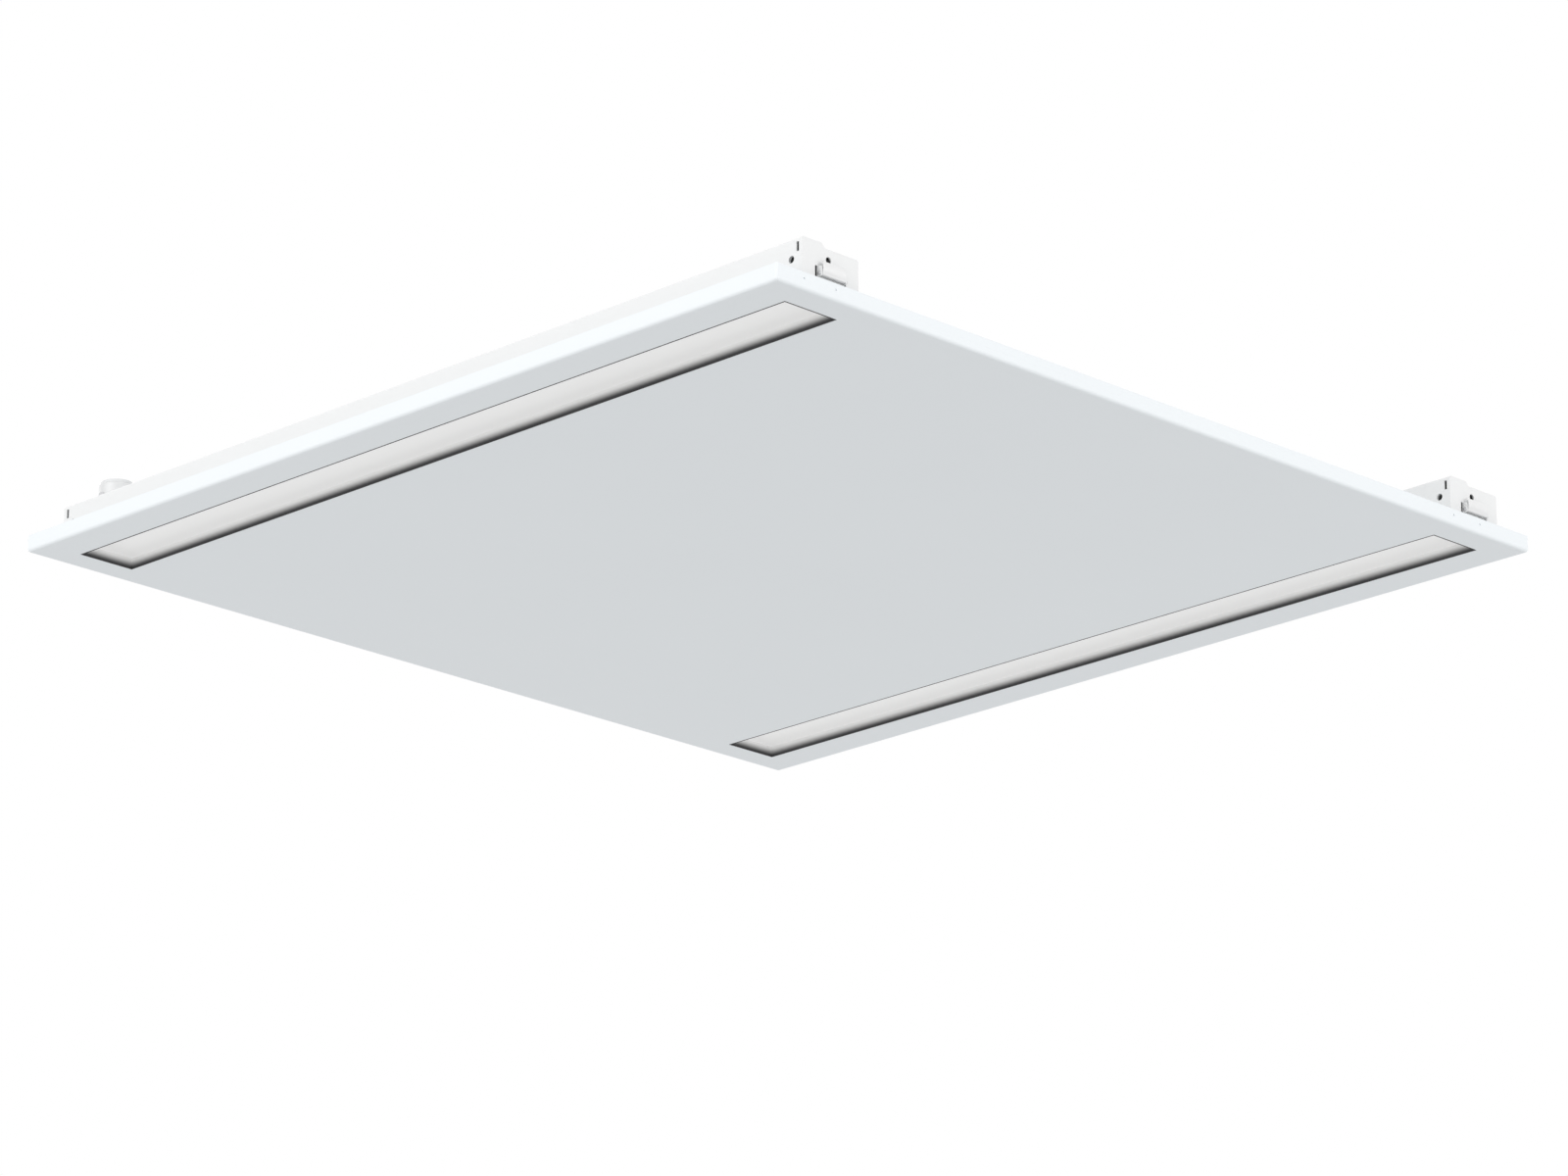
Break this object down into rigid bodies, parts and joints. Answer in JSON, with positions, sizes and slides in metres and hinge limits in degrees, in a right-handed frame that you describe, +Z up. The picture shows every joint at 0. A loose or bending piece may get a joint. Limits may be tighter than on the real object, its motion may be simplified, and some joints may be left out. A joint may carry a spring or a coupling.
{
  "type": "recessed troffer light",
  "caption": "Square lay-in ceiling light: blank white face with an upturned rim, a recessed light slot along each side, channel housings and a driver box behind.",
  "frame": {"origin": "centre of the visible face's underside, which rests on the ceiling grid's flanges", "axes": "+Z up into the ceiling void, light slots run along Y, +X across them"},
  "size_m": [0.6032, 0.6032, 0.0628],
  "materials": {
    "face_paint": "fine satin powder coat",
    "channel_paint": "satin white powder coat",
    "baffle_black": "matt dark liner, its shade fading to grey at the lens",
    "opal_lens": "satin opal acrylic",
    "reflector_white": "matt high-reflectance white",
    "board_mask": "white solder mask",
    "emitter": "yellow phosphor in a pale frame",
    "zinc_steel": "zinc-coated sheet with a faint spangle",
    "spring_steel": "bright spring steel",
    "fastener_zinc": "bright zinc plate",
    "driver_case": "off-white enamel on an aluminium case",
    "terminal_plastic": "orange moulded nylon",
    "bushing_black": "black moulded nylon",
    "lead_black": "satin black insulation",
    "lead_white": "satin white insulation",
    "lead_green": "satin green insulation",
    "lead_red": "satin red insulation",
    "ground_green": "green dyed zinc",
    "cast_zinc": "die-cast zinc, lightly tumbled",
    "plug_white": "white moulded plug"
  },
  "bodies": {
    "luminaire": {"face_pan": "face_paint", "rim_rivets": "face_paint", "channel_housing_left": "channel_paint", "channel_cover_left": "channel_paint", "slot_baffle_left": "baffle_black", "slot_lens_left": "opal_lens", "reflector_left": "reflector_white", "led_board_left": "board_mask", "led_emitters_left": "emitter", "led_leads_left": "lead_red", "end_plate_left_front": "channel_paint", "end_plate_left_back": "channel_paint", "channel_housing_right": "channel_paint", "channel_cover_right": "channel_paint", "slot_baffle_right": "baffle_black", "slot_lens_right": "opal_lens", "reflector_right": "reflector_white", "led_board_right": "board_mask", "led_emitters_right": "emitter", "led_leads_right": "lead_red", "end_plate_right_front": "channel_paint", "end_plate_right_back": "channel_paint", "clip_pins": "fastener_zinc", "lip_rivets": "fastener_zinc", "brace_rivets": "fastener_zinc", "box_screws": "fastener_zinc", "driver_screws": "fastener_zinc", "cover_hinge_pin": "fastener_zinc", "ground_lug": "fastener_zinc", "connector_clamp_screw": "fastener_zinc", "board_plugs": "plug_white", "cross_brace_front": "zinc_steel", "cross_brace_back": "zinc_steel", "driver_box": "zinc_steel", "knockout_discs": "zinc_steel", "led_driver": "driver_case", "terminal_block": "terminal_plastic", "ground_screw": "ground_green", "supply_lead_line": "lead_black", "supply_lead_neutral": "lead_white", "supply_lead_ground": "lead_green", "driver_input_leads": "lead_black", "wall_bushings": "bushing_black", "floor_bushings": "bushing_black", "cable_connector": "cast_zinc", "connector_locknut": "cast_zinc"},
    "clip_left_front": {"grid_clip_left_front": "spring_steel"},
    "clip_left_back": {"grid_clip_left_back": "spring_steel"},
    "clip_right_front": {"grid_clip_right_front": "spring_steel"},
    "clip_right_back": {"grid_clip_right_back": "spring_steel"},
    "driver_cover": {"driver_cover": "zinc_steel"},
    "thumbscrew": {"cover_thumbscrew": "fastener_zinc"}
  },
  "joints": [
    {"name": "clip_left_front_swing", "type": "hinge", "parent": "luminaire", "child": "clip_left_front", "pos_m": [-0.25853, -0.29873, 0.0139], "axis": [1, 0, 0], "range_deg": [0, 90]},
    {"name": "clip_left_back_swing", "type": "hinge", "parent": "luminaire", "child": "clip_left_back", "pos_m": [-0.25853, 0.29873, 0.0139], "axis": [-1, 0, 0], "range_deg": [0, 90]},
    {"name": "clip_right_front_swing", "type": "hinge", "parent": "luminaire", "child": "clip_right_front", "pos_m": [0.25853, -0.29873, 0.0139], "axis": [1, 0, 0], "range_deg": [0, 90]},
    {"name": "clip_right_back_swing", "type": "hinge", "parent": "luminaire", "child": "clip_right_back", "pos_m": [0.25853, 0.29873, 0.0139], "axis": [-1, 0, 0], "range_deg": [0, 90]},
    {"name": "driver_cover_hinge", "type": "hinge", "parent": "luminaire", "child": "driver_cover", "pos_m": [0.053, 0, 0.056], "axis": [0, 1, 0], "range_deg": [0, 110]},
    {"name": "thumbscrew_turn", "type": "hinge", "parent": "driver_cover", "child": "thumbscrew", "pos_m": [-0.0422, 0, 0.0568], "axis": [0, 0, 1], "continuous": true}
  ]
}
